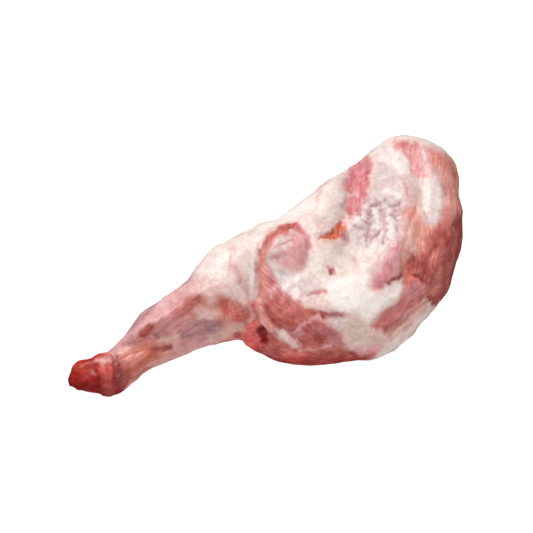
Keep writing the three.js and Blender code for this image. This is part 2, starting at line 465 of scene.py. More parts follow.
everywhere = np.ones(count)
lay("fat", everywhere)
islands("thin_fat", everywhere, share=0.9, per_metre=26, seed=11, start=-0.1, full=0.35)
islands("salmon", everywhere, share=0.7, per_metre=20, seed=12, start=0.12, full=0.45)
islands("pink_skin", everywhere, share=0.5, per_metre=34, seed=101, start=0.15, full=0.5, drawn_out=True)
lay("salmon", OUTER_SHANK * shank_share)
islands("pink_skin", shank_share, share=0.7, per_metre=34, seed=13, start=0.0, full=0.4)
lay("blood", OUTER_KNUCKLE * knuckle_share)
print("outer side covers", int((seen < 0.5).sum()), "points")

# %% [markdown]
# On the trimmed face each tissue is a patch or a streak with a name. It covers a share of what was there,
# and its edge fades over a few pixels, which the finish later breaks up. A photograph projected on the mesh
# would be quicker, but it would hold the light of its own studio. Round lean the fat thins out first, so it
# gets a blush of thin fat. The first layer is fat with islands of thinner fat, clear membrane and cream.

# %% Patch and streak
BLUSH = 0.5
BLUSH_REACH = 5.0
laid = []


def patch(title, tissue, share, soft, outline):
    """Covers the inside of an outline, given in pixels."""
    if tissue in LEANS:
        lay("thin_fat", BLUSH * share * film_now() * patch_mask(ragged, outline, soft, BLUSH_REACH))
    lay(tissue, share * patch_mask(ragged, outline, soft))
    laid.append(title)


def streak(title, tissue, share, half_width, soft, path):
    """Covers a line and half its width to either side, given in pixels."""
    if tissue in LEANS:
        halo = streak_mask(ragged, path, half_width + BLUSH_REACH / 2, soft)
        lay("thin_fat", BLUSH * share * film_now() * halo)
    lay(tissue, share * streak_mask(ragged, path, half_width, soft))
    laid.append(title)


def tell_laid():
    """Prints how many patches and streaks are laid so far."""
    print("laid", len(laid), "patches and streaks, last", laid[-1])


lay("fat", seen)
islands("thin_fat", seen, share=0.7, per_metre=60, seed=14, start=-0.1, full=0.5)
islands("membrane", seen, share=0.6, per_metre=85, seed=15, start=0.05, full=0.5)
islands("cream", seen, share=0.4, per_metre=70, seed=16, start=0.1, full=0.5)
print("trimmed face covers", int((seen > 0.5).sum()), "points")

# %% [markdown]
# The shank is lean under a thin pink skin, with a mauve sheath on its near side and a red muscle where it
# meets the elbow. One salmon patch for all of it would be quicker, but a shank shows its muscles as
# separate strands. So the patch is only the ground, and each strand is laid over it in the order in which
# they overlap.

# %% Shank muscles
patch("shank lean", "salmon", 0.92, 10, [
    (92, 352), (112, 344), (130, 326), (170, 290), (194, 280), (215, 288), (240, 296), (252, 300),
    (250, 345), (200, 356), (150, 378), (120, 398), (92, 400)])
streak("upper skin", "pink_skin", 0.9, 8, 8, [(118, 346), (135, 328), (155, 310), (178, 294), (196, 286)])
streak("upper edge", "sheath", 0.65, 3, 3, [(112, 347), (135, 323), (160, 299), (190, 277)])
streak("pale skin", "thin_fat", 0.35, 5, 6, [(162, 302), (184, 292)])
patch("middle skin", "purple_lean", 0.85, 8, [
    (146, 334), (158, 317), (176, 309), (186, 318), (172, 336), (158, 342)])
streak("rose muscle", "lean", 0.75, 6, 6, [(176, 314), (190, 304), (203, 295)])
streak("rose muscle deep", "dark_lean", 0.4, 3, 4, [(176, 312), (190, 302), (201, 295)])
streak("rose muscle light", "pink_skin", 0.4, 1.5, 2, [(158, 318), (176, 306)])
patch("sheath", "sheath", 0.95, 5, [
    (179, 334), (185, 324), (198, 319), (213, 317), (223, 322), (221, 330), (206, 336), (190, 340),
    (180, 338)])
streak("sheath red end", "dark_lean", 0.5, 3, 4, [(181, 333), (189, 331)])
streak("sheath gleam", "purple_lean", 0.45, 2.5, 3, [(192, 332), (206, 324)])
patch("pale tendon", "thin_fat", 0.7, 6, [(194, 308), (206, 304), (218, 312), (214, 319), (198, 319)])
streak("salmon tendon", "salmon", 0.6, 5, 5, [(207, 294), (211, 308)])
patch("red muscle", "lean", 0.92, 6, [
    (216, 301), (224, 297), (236, 299), (246, 306), (249, 314), (246, 323), (236, 321), (228, 316),
    (220, 309)])
streak("red muscle deep", "wet_red", 0.35, 3, 4, [(224, 307), (232, 313), (239, 319)])
streak("red muscle light", "salmon", 0.4, 2, 3, [(228, 297), (240, 308)])
streak("elbow seam foot", "thin_fat", 0.6, 4, 5, [(204, 292), (213, 301)])
streak("elbow seam", "thin_fat", 0.75, 5, 7, [(200, 287), (222, 289), (238, 296), (248, 302)])
streak("under pink", "pink_skin", 0.75, 4, 5, [(170, 348), (192, 344), (214, 339)])
streak("under fat", "cream", 0.65, 4, 6, [(210, 338), (226, 332), (239, 326)])
# painted shade: grey sheath and dull cream along the shank's underside edge
streak("under edge shade", "sheath", 0.4, 3, 4, [(168, 360), (205, 350), (235, 341)])
streak("under shade", "cream", 0.55, 2.5, 3, [(156, 368), (172, 360), (192, 352), (214, 347)])
streak("under corner", "dark_lean", 0.9, 3.5, 3, [(237, 335), (246, 335)])
tell_laid()

# %% [markdown]
# Towards the knuckle the muscles end in tendons, orange and brown where they have dried. A dark vein and
# two bruises lie across them. Noise could scatter such marks, but they are few, so each has its own place.

# %% Shank tendons
patch("orange tendon", "orange_cut", 0.5, 7, [
    (118, 354), (140, 346), (168, 342), (160, 356), (145, 368), (128, 378)])
# painted highlight: a lighter salmon streak along the top of the tendon
streak("bright tendon", "dry_lean", 0.3, 3, 3, [(106, 356), (122, 351), (142, 351)])
streak("bright tendon line", "orange_cut", 0.5, 1.2, 1.6, [(112, 360), (128, 355), (150, 350)])
streak("bright tendon end", "cream", 0.65, 3, 4, [(161, 341), (169, 338), (177, 336)])
streak("brown tendon", "orange_cut", 0.8, 3.5, 4, [(130, 372), (142, 363), (154, 354)])
streak("brown tendon deep", "dark_lean", 0.35, 2, 2.5, [(132, 370), (150, 357)])
streak("under skin", "pink_skin", 0.5, 4, 4, [(140, 376), (160, 364), (176, 356)])
streak("vein", "dark_lean", 0.95, 2.4, 2.2, [(153, 349), (162, 349), (171, 347)])
streak("vein clot", "clot", 0.6, 1.2, 1.5, [(156, 350), (160, 349)])
streak("bruise", "dark_lean", 0.9, 4.5, 4, [(143, 334), (150, 327)])
streak("bruise heart", "blood", 0.35, 2, 3, [(144, 334), (150, 327)])
streak("small bruise", "dark_lean", 0.65, 1.8, 2.2, [(154, 336), (158, 338)])
tell_laid()

# %% [markdown]
# The shank's end was cut through the joint. The knuckle is red with blood. Its top is painted lighter and
# its underside darker, as painted light and shade, a pale streak on its shoulder is a painted highlight, and
# behind it runs a brown collar where the skin was cut round. A painted shadow runs along its foot and under
# the neck. It could be a separate piece, but it is grown together with the shank, so it is laid on the same
# skin.

# %% Knuckle
lay("blood", knuckle_share)
patch("knuckle", "blood", 1.0, 5, [
    (60, 386), (62, 370), (70, 358), (84, 352), (98, 356), (110, 362), (114, 374), (114, 388), (108, 404),
    (84, 406), (66, 398)])
# painted light: the knuckle's top is painted a lighter orange red
streak("knuckle painted light", "orange_cut", 0.2, 5, 5, [(78, 364), (90, 367)])
streak("knuckle side", "lean", 0.6, 4.5, 4, [(105, 372), (107, 388)])
# painted shade: clot colour darkens the knuckle's lower part
streak("knuckle painted shade", "clot", 0.9, 5, 5, [(69, 383), (82, 387), (96, 390)])
streak("knuckle cleft", "clot", 0.35, 1.5, 2, [(96, 368), (98, 380), (99, 394)])
# painted highlight: a pale rose streak on the knuckle's shoulder
streak("knuckle shoulder", "rose_skin", 0.75, 3, 3, [(98, 360), (110, 361)])
streak("gristle red", "wet_red", 0.7, 3, 4, [(102, 368), (111, 368)])
streak("collar", "dark_lean", 0.97, 5, 3, [(117, 360), (119, 378), (118, 398)])
streak("collar blood", "clot", 0.4, 3.5, 4, [(116, 364), (118, 392)])
streak("collar dull", "sheath", 0.3, 2, 2, [(122, 374), (123, 390)])
streak("collar cut", "dark_lean", 0.6, 3, 3, [(126, 362), (129, 372), (128, 380)])
# painted shadow: dark lean and clot colour along the knuckle's foot, the collar's foot and under the neck
streak("knuckle under", "dark_lean", 0.8, 4, 4, [(104, 394), (120, 396)])
streak("knuckle foot", "clot", 0.6, 2.5, 3, [(96, 397), (118, 399)])
streak("collar foot shadow", "clot", 0.75, 2.6, 2.4, [(112, 398), (120, 394), (126, 387)])
streak("neck shade", "dark_lean", 0.45, 3, 4, [(126, 388), (135, 379), (148, 370)])
tell_laid()

# %% [markdown]
# The elbow is covered with fat, nearly white, with a fold that blushes pink. Along the crease a line of
# rose skin leads down to the notch. The fold could be bump alone, but it turns the light, so it gets both
# its colour here and its groove in the relief below.

# %% Elbow and crease
patch("elbow fat", "fat", 0.6, 8, [
    (190, 280), (196, 262), (214, 240), (250, 222), (300, 198), (318, 196), (312, 222), (290, 222),
    (268, 232), (260, 250), (258, 288), (240, 286), (214, 280)])
streak("elbow blush", "thin_fat", 0.6, 6, 8, [(194, 286), (215, 284), (232, 288)])
streak("elbow fold", "thin_fat", 0.9, 3, 3, [(233, 248), (232, 264), (238, 280), (250, 294)])
streak("elbow fold pink", "pink_skin", 0.5, 2, 3, [(232, 262), (238, 280), (246, 291)])
# painted light: whiter fat on the slope left of the crease, which turns away from the key light
patch("elbow painted light", "white_fat_and_painted_light", 0.6, 5, [(242, 262), (253, 258), (256, 276), (254, 292), (246, 286)])
patch("elbow tan", "dry_lean", 0.2, 5, [(243, 266), (253, 264), (256, 276), (253, 288), (246, 284)])
streak("elbow peach", "dry_lean", 0.4, 2.2, 3, [(236, 262), (246, 284), (252, 298)])
streak("elbow pale", "white_fat_and_painted_light", 0.5, 1.6, 2, [(244, 262), (252, 282)])
streak("elbow spot", "lean", 0.5, 1.8, 2.5, [(238, 277), (241, 283)])
streak("elbow grey", "sheath", 0.3, 1.8, 2.5, [(246, 262), (249, 267)])
# painted light: a whiter streak along the same slope
streak("crease painted light", "white_fat_and_painted_light", 0.6, 3, 3, [(254, 244), (254, 272), (252, 294)])
streak("crease skin", "rose_skin", 0.6, 2.2, 3, [(258, 246), (257, 275), (254, 296)])
streak("crease edge", "salmon", 0.85, 4, 3.5, [(263, 254), (264, 270), (266, 284)])
streak("crease line", "lean", 0.4, 1.8, 2, [(262, 254), (260, 275), (258, 296), (255, 312)])
streak("crease blotch", "lean", 0.7, 2.6, 2.5, [(266, 273), (268, 284)])
tell_laid()

# %% [markdown]
# Next to the crease lies the eye, a round muscle with a cut red rim and a rose half on the right, under a
# skin with grey lines and two pale streaks on its left that are painted highlights. A shader with rings
# could draw it, but its rim is open at the foot, so it is laid from given outlines.

# %% Eye
patch("eye skin", "membrane", 0.85, 5, [
    (264, 252), (270, 242), (280, 236), (292, 236), (300, 244), (304, 256), (300, 272), (284, 274),
    (270, 266)])
patch("eye blush", "pink_skin", 0.85, 6, [(264, 252), (274, 238), (290, 236), (288, 262), (274, 266)])
patch("eye purple", "purple_lean", 0.85, 5, [
    (288, 234), (300, 230), (310, 241), (310, 256), (304, 272), (290, 272), (284, 262), (287, 248)])
patch("eye pink", "rose_skin", 0.75, 6, [
    (288, 234), (300, 231), (309, 243), (308, 258), (300, 272), (288, 272), (284, 262), (287, 248)])
streak("eye rim", "lean", 0.92, 3.8, 2.6, [
    (263, 252), (266, 243), (273, 235), (282, 229), (293, 226), (299, 228)])
streak("eye rim right", "pink_lean", 0.7, 2.6, 3, [(299, 228), (306, 236), (310, 248)])
streak("eye rim spot", "dark_lean", 0.85, 2.8, 2, [(260, 251), (263, 253)])
streak("eye rim light", "salmon", 0.5, 2, 2, [(268, 246), (276, 237), (288, 232)])
# painted highlight: pale streaks on the eye's left half
streak("eye highlight one", "fat", 0.6, 1.8, 2, [(277, 241), (287, 239)])
streak("eye line one", "sheath", 0.55, 1.4, 1.8, [(277, 246), (284, 243), (292, 241)])
streak("eye highlight two", "fat", 0.75, 2.2, 2, [(269, 257), (279, 251), (292, 246)])
streak("eye line two", "sheath", 0.55, 1.4, 1.8, [(268, 261), (278, 257), (286, 254)])
streak("eye lilac", "rose_skin", 0.5, 4, 4, [(274, 265), (292, 268)])
tell_laid()

# %% [markdown]
# Below the eye two fans of lean come out from under the fat sheet, with a salmon band along the crease and
# dark splits between the fans. Every strand could be drawn by itself, but the fibre directions already give
# the strands, so here a fan is only an outline and a few deeper streaks.

# %% Fans of lean
patch("inner fan", "purple_lean", 0.95, 5, [
    (258, 264), (268, 264), (275, 275), (284, 286), (295, 295), (303, 304), (284, 314), (264, 310),
    (257, 298)])
streak("inner fan red", "lean", 0.8, 7, 6, [(268, 286), (272, 295), (284, 303)])
streak("crease band", "dry_lean", 0.8, 3.6, 2.6, [(263, 252), (264, 268), (264, 284), (261, 299)])
streak("crease band deep", "orange_cut", 0.35, 1.6, 2, [(262, 254), (262, 272), (260, 290)])
patch("inner lean", "lean", 0.95, 5, [
    (262, 304), (276, 300), (288, 296), (296, 303), (308, 306), (320, 312), (314, 321), (306, 328),
    (306, 344), (290, 342), (276, 336), (268, 328), (262, 316)])
streak("inner lean deep", "dark_lean", 0.35, 3, 4, [(271, 318), (284, 327), (298, 325)])
streak("inner lean shelf", "dark_lean", 0.45, 3, 3.5, [(300, 312), (316, 313)])
streak("inner clot", "clot", 0.6, 1.2, 1.5, [(273, 319), (274, 320)])
patch("lower lean", "lean", 0.92, 5, [
    (300, 328), (312, 316), (326, 320), (336, 330), (346, 340), (346, 356), (312, 356), (298, 350),
    (299, 340)])
streak("lower lean deep", "dark_lean", 0.65, 5, 5, [(310, 330), (324, 340)])
streak("lower lean lilac", "purple_lean", 0.5, 3.5, 5, [(316, 326), (328, 334), (330, 344)])
patch("pocket", "purple_lean", 0.8, 4, [(288, 330), (300, 328), (304, 336), (298, 341), (290, 337)])
patch("purple pocket", "purple_lean", 0.75, 6, [(330, 328), (344, 331), (347, 346), (334, 351)])
streak("purple pocket deep", "dark_lean", 0.35, 4, 5, [(334, 336), (341, 346)])
streak("dark split halo", "purple_lean", 0.7, 5, 4, [(322, 316), (342, 314)])
streak("dark split", "dark_lean", 0.9, 3.8, 2.8, [(320, 316), (331, 315), (343, 313)])
streak("dark split end", "sheath", 0.6, 2.8, 2.6, [(328, 318), (340, 317), (348, 315)])
streak("split one", "rose_skin", 0.8, 1.9, 1.8, [(315, 316), (306, 322), (298, 330)])
streak("split two", "rose_skin", 0.7, 1.6, 1.8, [(315, 316), (322, 322), (330, 327)])
tell_laid()

# %% [markdown]
# A ridge of fat parts the fans from the near edge. At its upper end is the notch, bright, wet and with a
# clot in it. The ridge could be a bevelled curve laid on top, but it grows out of the meat without a
# border. Its line is named, because the relief raises the same line.

# %% Near lobe and notch
FAT_RIDGE = [(259, 305), (263, 315), (268, 325), (278, 334), (290, 341), (300, 347)]

patch("near lobe", "lean", 0.95, 4, [
    (246, 344), (252, 318), (257, 311), (262, 322), (270, 332), (282, 340), (300, 349), (318, 348),
    (350, 350), (384, 346), (376, 360), (340, 370), (300, 372), (262, 364), (246, 354)])
streak("fat ridge", "cream", 0.85, 1.5, 1.6, FAT_RIDGE)
streak("fat ridge top", "dry_lean", 0.85, 2.8, 2.2, [(259, 304), (264, 316), (271, 327)])
streak("fat ridge light", "thin_fat", 0.9, 3.0, 2.0, [(280, 332), (295, 342)])
patch("notch neck", "lean", 0.85, 4, [
    (247, 300), (256, 298), (258, 310), (258, 324), (246, 324), (244, 314)])
streak("notch neck pale", "rose_skin", 0.55, 2, 2.5, [(250, 300), (252, 310), (250, 319)])
patch("notch", "wet_red", 0.97, 4, [
    (245, 325), (252, 320), (258, 322), (259, 334), (263, 348), (252, 355), (240, 345)])
# painted highlight: a pale rose streak on the notch's bulge
streak("notch highlight", "rose_skin", 0.4, 2.5, 3, [(249, 328), (251, 336)])
streak("notch blotch", "blood", 0.6, 2.2, 2.6, [(254, 304), (259, 301), (265, 306)])
streak("notch clot", "clot", 1.0, 4.4, 1.6, [(260, 330), (262, 335), (264, 340)])
tell_laid()

# %% [markdown]
# A sheet of white fat covers the middle, torn in a few places down to the lean. Towards the near edge it
# turns grey and thin, and the edge itself is wet lean, painted darker towards the ground as painted shade,
# with a painted shadow along its foot. The tears could be holes in the mesh, but they are shallow, so
# colour and a little relief are enough.

# %% Fat sheet and near edge
TEAR = [(329, 268), (332, 272)]

patch("fat sheet", "fat", 0.85, 5, [
    (270, 262), (300, 276), (312, 252), (330, 244), (372, 246), (378, 254), (370, 286), (384, 292),
    (394, 281), (404, 282), (404, 296), (386, 308), (366, 318), (340, 311), (322, 307), (310, 305),
    (298, 298), (287, 288), (277, 275)])
patch("sheet left", "membrane", 0.85, 7, [
    (272, 264), (300, 278), (320, 276), (318, 298), (298, 297), (282, 286)])
patch("sheet white", "white_fat_and_painted_light", 0.85, 6, [
    (326, 284), (366, 274), (376, 288), (392, 282), (402, 280), (403, 295), (388, 306), (370, 314),
    (338, 306), (322, 294)])
patch("sheet grey", "membrane", 0.6, 6, [(330, 240), (346, 236), (356, 246), (350, 258), (334, 256)])
streak("tear one halo", "purple_lean", 0.35, 4.5, 4, [(329, 267), (332, 273)])
streak("tear one", "dark_lean", 0.85, 2.4, 2.4, TEAR)
streak("tear two", "purple_lean", 0.6, 2.6, 3.5, [(356, 259), (358, 267)])
streak("tear three", "pink_lean", 0.8, 2.6, 2.6, [(314, 293), (325, 292)])
streak("tear three end", "sheath", 0.6, 1.6, 1.8, [(310, 295), (314, 293)])
streak("sheet blush", "thin_fat", 0.7, 4, 5, [(309, 303), (326, 304)])
patch("grey fat", "cream", 0.8, 7, [
    (340, 322), (356, 318), (374, 324), (384, 336), (378, 344), (350, 346), (342, 338)])
patch("grey fat lilac", "membrane", 0.6, 5, [(328, 318), (346, 316), (348, 326), (334, 328)])
# painted shade: dark lean and blood colour along the near edge stand partly for its own wet lean and partly
# for the shade where it turns down to the ground
streak("near edge left", "dark_lean", 0.75, 6, 6, [(256, 354), (284, 359)])
streak("near edge wet", "wet_red", 0.5, 6, 5, [(284, 357), (314, 357)])
streak("near edge blood", "blood", 0.7, 4, 4, [(284, 361), (314, 361)])
streak("near edge deep", "dark_lean", 0.85, 7, 5, [(314, 357), (352, 359)])
streak("near edge crimson", "blood", 0.3, 4, 4, [(318, 360), (350, 361)])
streak("near edge right", "pink_skin", 0.7, 5, 5, [(360, 350), (388, 346)])
# painted shadow: clot colour along the foot of the near edge
streak("near edge foot shadow", "clot", 0.55, 2.4, 2.4, [
    (262, 356), (284, 363), (314, 364), (350, 363), (368, 358)])
# painted highlight: a thin pale line along the near edge
streak("near edge highlight", "thin_fat", 0.45, 1.4, 1.8, [(300, 351), (318, 348), (330, 343)])
tell_laid()

# %% [markdown]
# The far half is the flat of the blade. A lobe of fat lies along its far edge, with a torn crimson hollow
# and an orange slit beside it. Both could be cut into the mesh, but they are shallow, so they get their
# colours here and grooves in the relief below.

# %% Blade face
patch("blade membrane", "membrane", 0.7, 8, [
    (366, 205), (370, 175), (378, 158), (396, 154), (412, 166), (420, 180), (421, 205), (410, 222),
    (402, 240), (370, 246), (356, 240), (352, 226)])
patch("blade mauve", "purple_lean", 0.5, 8, [(400, 176), (414, 182), (418, 204), (408, 212), (400, 200)])
patch("far lobe", "fat", 0.4, 8, [(316, 190), (330, 178), (346, 172), (346, 204), (334, 214), (318, 212)])
streak("far edge", "white_fat_and_painted_light", 0.6, 5, 6, [(262, 222), (290, 212), (318, 198)])
streak("far lobe rim", "pink_skin", 0.45, 2, 3, [(316, 208), (318, 192), (330, 182)])
patch("crimson hollow", "pink_lean", 0.92, 5, [
    (345, 178), (350, 167), (362, 159), (371, 160), (370, 176), (370, 196), (365, 210), (354, 219),
    (345, 219), (345, 198)])
streak("hollow top", "purple_lean", 0.65, 4, 4, [(352, 166), (368, 164)])
streak("hollow stroke one", "lean", 0.6, 1.6, 2.5, [(366, 173), (367, 182)])
streak("hollow stroke two", "lean", 0.7, 2.4, 3, [(363, 188), (366, 202)])
streak("hollow stroke three", "lean", 0.6, 2.4, 3, [(349, 212), (358, 210)])
streak("hollow pale", "thin_fat", 0.55, 2, 3, [(345, 193), (357, 194)])
patch("orange slit", "orange_cut", 0.97, 2.4, [
    (317, 243), (330, 230), (342, 218), (349, 224), (346, 236), (333, 241)])
patch("slit shade", "sheath", 0.75, 4, [(342, 228), (350, 228), (351, 240), (344, 246), (339, 240)])
streak("slit lip", "cream", 0.7, 1.8, 2, [(319, 244), (332, 242)])
tell_laid()

# %% [markdown]
# The blade's own membrane is pale, wet and wrinkled over pink. A cloth simulation could wrinkle it, but the
# folds are under a millimetre. Noise near zero draws thin winding grey lines, painted shade that makes good
# creases, and a few of the largest creases are listed one by one as painted shade. White spots and a few
# listed glints on top are painted highlights.

# %% Wrinkled membrane
WET_OUTLINE = [(364, 200), (402, 196), (405, 228), (396, 246), (362, 244), (354, 226)]
WET_SOFT = 8.0
WET_SKIN = 0.75
WET_GREY = 0.24
CRINKLES_PER_METRE = 105
CRINKLE_WIDTH = 0.26
CREASE_SHADE_GREY = 0.65
WRINKLES = {
    "wrinkle one": [(368, 216), (370, 226), (367, 240)],
    "wrinkle two": [(371, 207), (380, 205)],
    "wrinkle three": [(384, 214), (386, 224)],
    "wrinkle four": [(376, 236), (384, 228)],
    "wrinkle five": [(404, 186), (407, 194)],
    "wrinkle six": [(392, 208), (400, 204)],
}
GLINTS = {
    "glint one": [(376, 212), (378, 226)],
    "glint two": [(390, 220), (392, 234)],
    "glint three": [(384, 192), (398, 196)],
    "glint four": [(384, 160), (396, 164), (410, 170)],
}

crease_shade = 1.0 - smoothstep(0.0, CRINKLE_WIDTH, np.abs(noise_at(place, CRINKLES_PER_METRE, seed=17)))
wet_part = patch_mask(ragged, WET_OUTLINE, WET_SOFT)
lay("membrane", WET_SKIN * wet_part)
lay("sheath", WET_GREY * wet_part)
# painted shade: grey along the winding crease lines
lay("sheath", CREASE_SHADE_GREY * crease_shade * wet_part)
# painted highlight: white spots of glints on the wet membrane
islands("white_fat_and_painted_light", wet_part, share=0.3, per_metre=130, seed=18, start=0.12, full=0.4)
# painted shade: grey streaks in the largest creases
for title, path in WRINKLES.items():
    streak(title, "sheath", 0.5, 1.6, 2.6, path)
# painted highlight: pale glints on the wet membrane
for title, path in GLINTS.items():
    streak(title, "white_fat_and_painted_light", 0.75, 2.6, 3.5, path)
tell_laid()

# %% [markdown]
# Round the blade's end runs a band of lean that has dried to salmon and brown. A gradient along the edge
# could tint it, but it dried unevenly, so fine lines of several tones lie over one salmon patch.

# %% Rim
patch("rim salmon", "dry_lean", 0.95, 6, [
    (424, 150), (440, 148), (458, 160), (470, 190), (470, 226), (446, 234), (438, 222), (442, 196),
    (436, 176)])
streak("rim orange", "orange_cut", 0.22, 5, 6, [(440, 158), (454, 178), (460, 208)])
streak("rim brown line", "orange_cut", 0.6, 1.3, 2, [(451, 162), (458, 186), (460, 212)])
streak("rim deep line", "dark_lean", 0.25, 1.2, 2, [(456, 172), (462, 196), (463, 216)])
streak("rim pale line", "thin_fat", 0.2, 1.0, 1.8, [(446, 160), (452, 180), (454, 204), (450, 222)])
streak("rim skin", "membrane", 0.4, 3, 4, [(438, 172), (445, 198), (443, 216)])
streak("rim spot", "sheath", 0.5, 2, 3, [(443, 186), (444, 194)])
patch("inner band", "dry_lean", 0.85, 7, [
    (404, 212), (418, 202), (424, 222), (440, 226), (436, 246), (424, 262), (404, 258), (402, 240)])
streak("inner band blush", "thin_fat", 0.6, 5, 6, [(408, 226), (412, 250)])
tell_laid()

# %% [markdown]
# Towards the near corner the band darkens to a wet red. Its outer edge is darkest, where it turns down to
# the ground, and that shade is laid on because soft light alone would leave it too bright.

# %% Dark rim
patch("rim dark", "lean", 0.95, 5, [
    (434, 224), (450, 221), (472, 212), (470, 250), (462, 280), (450, 304), (434, 306), (424, 288),
    (424, 262), (428, 244)])
streak("rim dark edge", "dark_lean", 0.9, 8, 5, [(464, 220), (462, 246), (456, 272), (444, 302)])
patch("rim dark shade", "dark_lean", 0.35, 6, [(434, 236), (466, 220), (458, 270), (446, 300), (430, 296)])
streak("rim dark stripe", "dark_lean", 0.6, 2.5, 3, [(450, 232), (446, 262), (436, 296)])
streak("rim dark brown", "dry_lean", 0.4, 4, 5, [(436, 250), (437, 284), (434, 298)])
streak("rim dark line", "salmon", 0.25, 1.6, 2.2, [(457, 232), (454, 256), (446, 284)])
patch("rim red", "lean", 0.92, 6, [(403, 260), (430, 250), (434, 276), (424, 288), (403, 289), (401, 272)])
streak("rim red deep", "dark_lean", 0.7, 7, 6, [(410, 263), (424, 264), (428, 280)])
# painted highlight: an orange-red streak on the red lean by the nick
streak("rim red highlight", "orange_cut", 0.45, 3, 3.5, [(405, 270), (409, 284)])
tell_laid()

# %% [markdown]
# Inside the rim lies a white strip of fat, and the blade's tip is bare and pink under a fat edge. The strip
# could be a piece of its own, but it is grown to the meat. Its border is sharp, so its outline fades over
# fewer pixels than any other.

# %% White strip and tip
patch("white strip", "fat", 0.9, 1.8, [
    (420, 180), (429, 176), (437, 184), (441, 198), (439, 213), (433, 224), (427, 224), (423, 210),
    (421, 193)])
streak("white strip shade", "membrane", 0.5, 7, 4, [(429, 186), (433, 204), (430, 220)])
streak("strip line", "sheath", 0.5, 1.2, 1.8, [(420, 182), (422, 206), (428, 224)])
streak("end streak", "pink_lean", 0.88, 6, 5, [(400, 146), (411, 150), (417, 160), (420, 172)])
streak("end streak warm", "salmon", 0.5, 5, 5, [(400, 146), (411, 150), (417, 160)])
streak("end blush", "pink_skin", 0.5, 5, 5, [(426, 152), (431, 172)])
streak("end rim", "fat", 0.85, 5, 5, [(378, 144), (396, 134), (420, 136), (442, 146)])
tell_laid()

# %% [markdown]
# A purple strip and a red band meet at the near corner, over a fringe of grey fat with fine salmon lines.
# Knife cuts in the mesh could mark them, but they would be lost when the mesh is made anew. The nick and
# the fringe's line are named, because the relief sinks the same lines in.

# %% Strips, band and fringe
NICK = [(413, 275), (419, 277), (426, 283)]
FRINGE_LINE = [(427, 306), (413, 318), (400, 331), (390, 341)]

patch("purple strip", "purple_lean", 0.92, 5, [
    (388, 248), (396, 240), (403, 244), (400, 260), (394, 272), (387, 284), (379, 292), (371, 285),
    (375, 272), (380, 262)])
streak("purple strip pale", "thin_fat", 0.15, 3, 4, [(386, 270), (398, 248)])
streak("purple strip deep", "pink_lean", 0.6, 2.5, 3, [(376, 288), (388, 266)])
streak("pink strip", "salmon", 0.8, 4, 4, [(404, 250), (402, 264), (396, 275)])
streak("pink strip light", "pink_skin", 0.5, 2.5, 3, [(401, 252), (399, 266), (394, 275)])
streak("strip foot", "dark_lean", 0.85, 1.8, 1.8, [(388, 281), (401, 275)])
streak("dark nick", "clot", 0.85, 2.2, 2.0, NICK)
patch("red band", "lean", 0.95, 5, [
    (404, 289), (424, 284), (428, 296), (416, 307), (403, 316), (393, 326), (383, 336), (372, 328),
    (380, 313), (396, 303)])
streak("red band purple", "purple_lean", 0.7, 5, 5, [(407, 292), (421, 289)])
streak("red band rose", "purple_lean", 0.4, 6, 6, [(386, 322), (412, 300)])
streak("red band top", "purple_lean", 0.4, 2.6, 3, [(386, 311), (402, 303)])
streak("red band deep", "dark_lean", 0.55, 3, 3.5, [(376, 324), (388, 333), (402, 318)])
patch("fringe", "fat", 0.75, 4, [
    (430, 300), (442, 302), (428, 322), (416, 340), (402, 352), (382, 354), (386, 340), (404, 323),
    (420, 312)])
streak("fringe salmon", "salmon", 0.85, 1.8, 2, [(425, 302), (411, 313), (397, 327), (388, 337)])
streak("fringe lilac", "purple_lean", 0.35, 1.6, 2, [(431, 309), (418, 324), (402, 339)])
streak("fringe grey", "cream", 0.5, 4, 4, [(434, 306), (424, 320), (410, 334)])
streak("rim knob", "dark_lean", 0.9, 3.4, 2.5, [(429, 298), (436, 303)])
streak("fringe brown", "salmon", 0.6, 1.4, 1.8, FRINGE_LINE)
tell_laid()

# %% [markdown]
# The sides fall away from the camera, so the picture shows little of them. One tone would do for that view,
# but the part is seen from all round. Lean sides get long muscles in several tones with seams of thin fat.
# Where the camera can't look, fat gets thinner, pink and cream places, and the knuckle's end gets clots.

# %% Sides
SIDE_FACING = (0.30, -0.10)
HIDDEN_FACING = (0.0, -0.35)
SEAMS_PER_METRE = 26
SEAM_WIDTH = 0.09
SEAM_FAT = 0.7

sideways = smoothstep(*SIDE_FACING, facing)
lean_sides = sideways * (1.0 - film_now()) * (1.0 - shank_share)
islands("dry_lean", lean_sides, share=0.6, per_metre=32, seed=61, start=-0.1, full=0.4, drawn_out=True)
islands("dark_lean", lean_sides, share=0.5, per_metre=32, seed=81, start=0.0, full=0.5, drawn_out=True)
seams = 1.0 - smoothstep(0.0, SEAM_WIDTH, np.abs(fibre_noise(SEAMS_PER_METRE, seed=91)))
lay("thin_fat", SEAM_FAT * lean_sides * seams)

hidden = smoothstep(*HIDDEN_FACING, facing)
fat_sides = hidden * film_now() * (1.0 - shank_share)
islands("thin_fat", fat_sides, share=0.6, per_metre=32, seed=111, start=-0.1, full=0.4, drawn_out=True)
islands("pink_skin", fat_sides, share=0.5, per_metre=48, seed=121, start=0.1, full=0.5, drawn_out=True)
islands("cream", fat_sides, share=0.35, per_metre=26, seed=19, start=0.1, full=0.5)
knuckle_end = hidden * knuckle_share
islands("clot", knuckle_end, share=0.7, per_metre=75, seed=34, start=-0.1, full=0.4)
islands("lean", knuckle_end, share=0.6, per_metre=75, seed=35, start=0.1, full=0.5)
print("sides cover", int((sideways > 0.5).sum()), "points, hidden ones", int((hidden > 0.5).sum()))

# %% [markdown]
# The relief follows the tissues. Fat stands about a millimetre proud of the lean, ridges and lobes rise,
# and seams between muscles sink in. At the outline a few broad dents and swellings bring the solid's edge
# to its true line. Sculpt brushes would do the same by eye. Lines in pixels keep each seam under the colour
# that belongs to it.

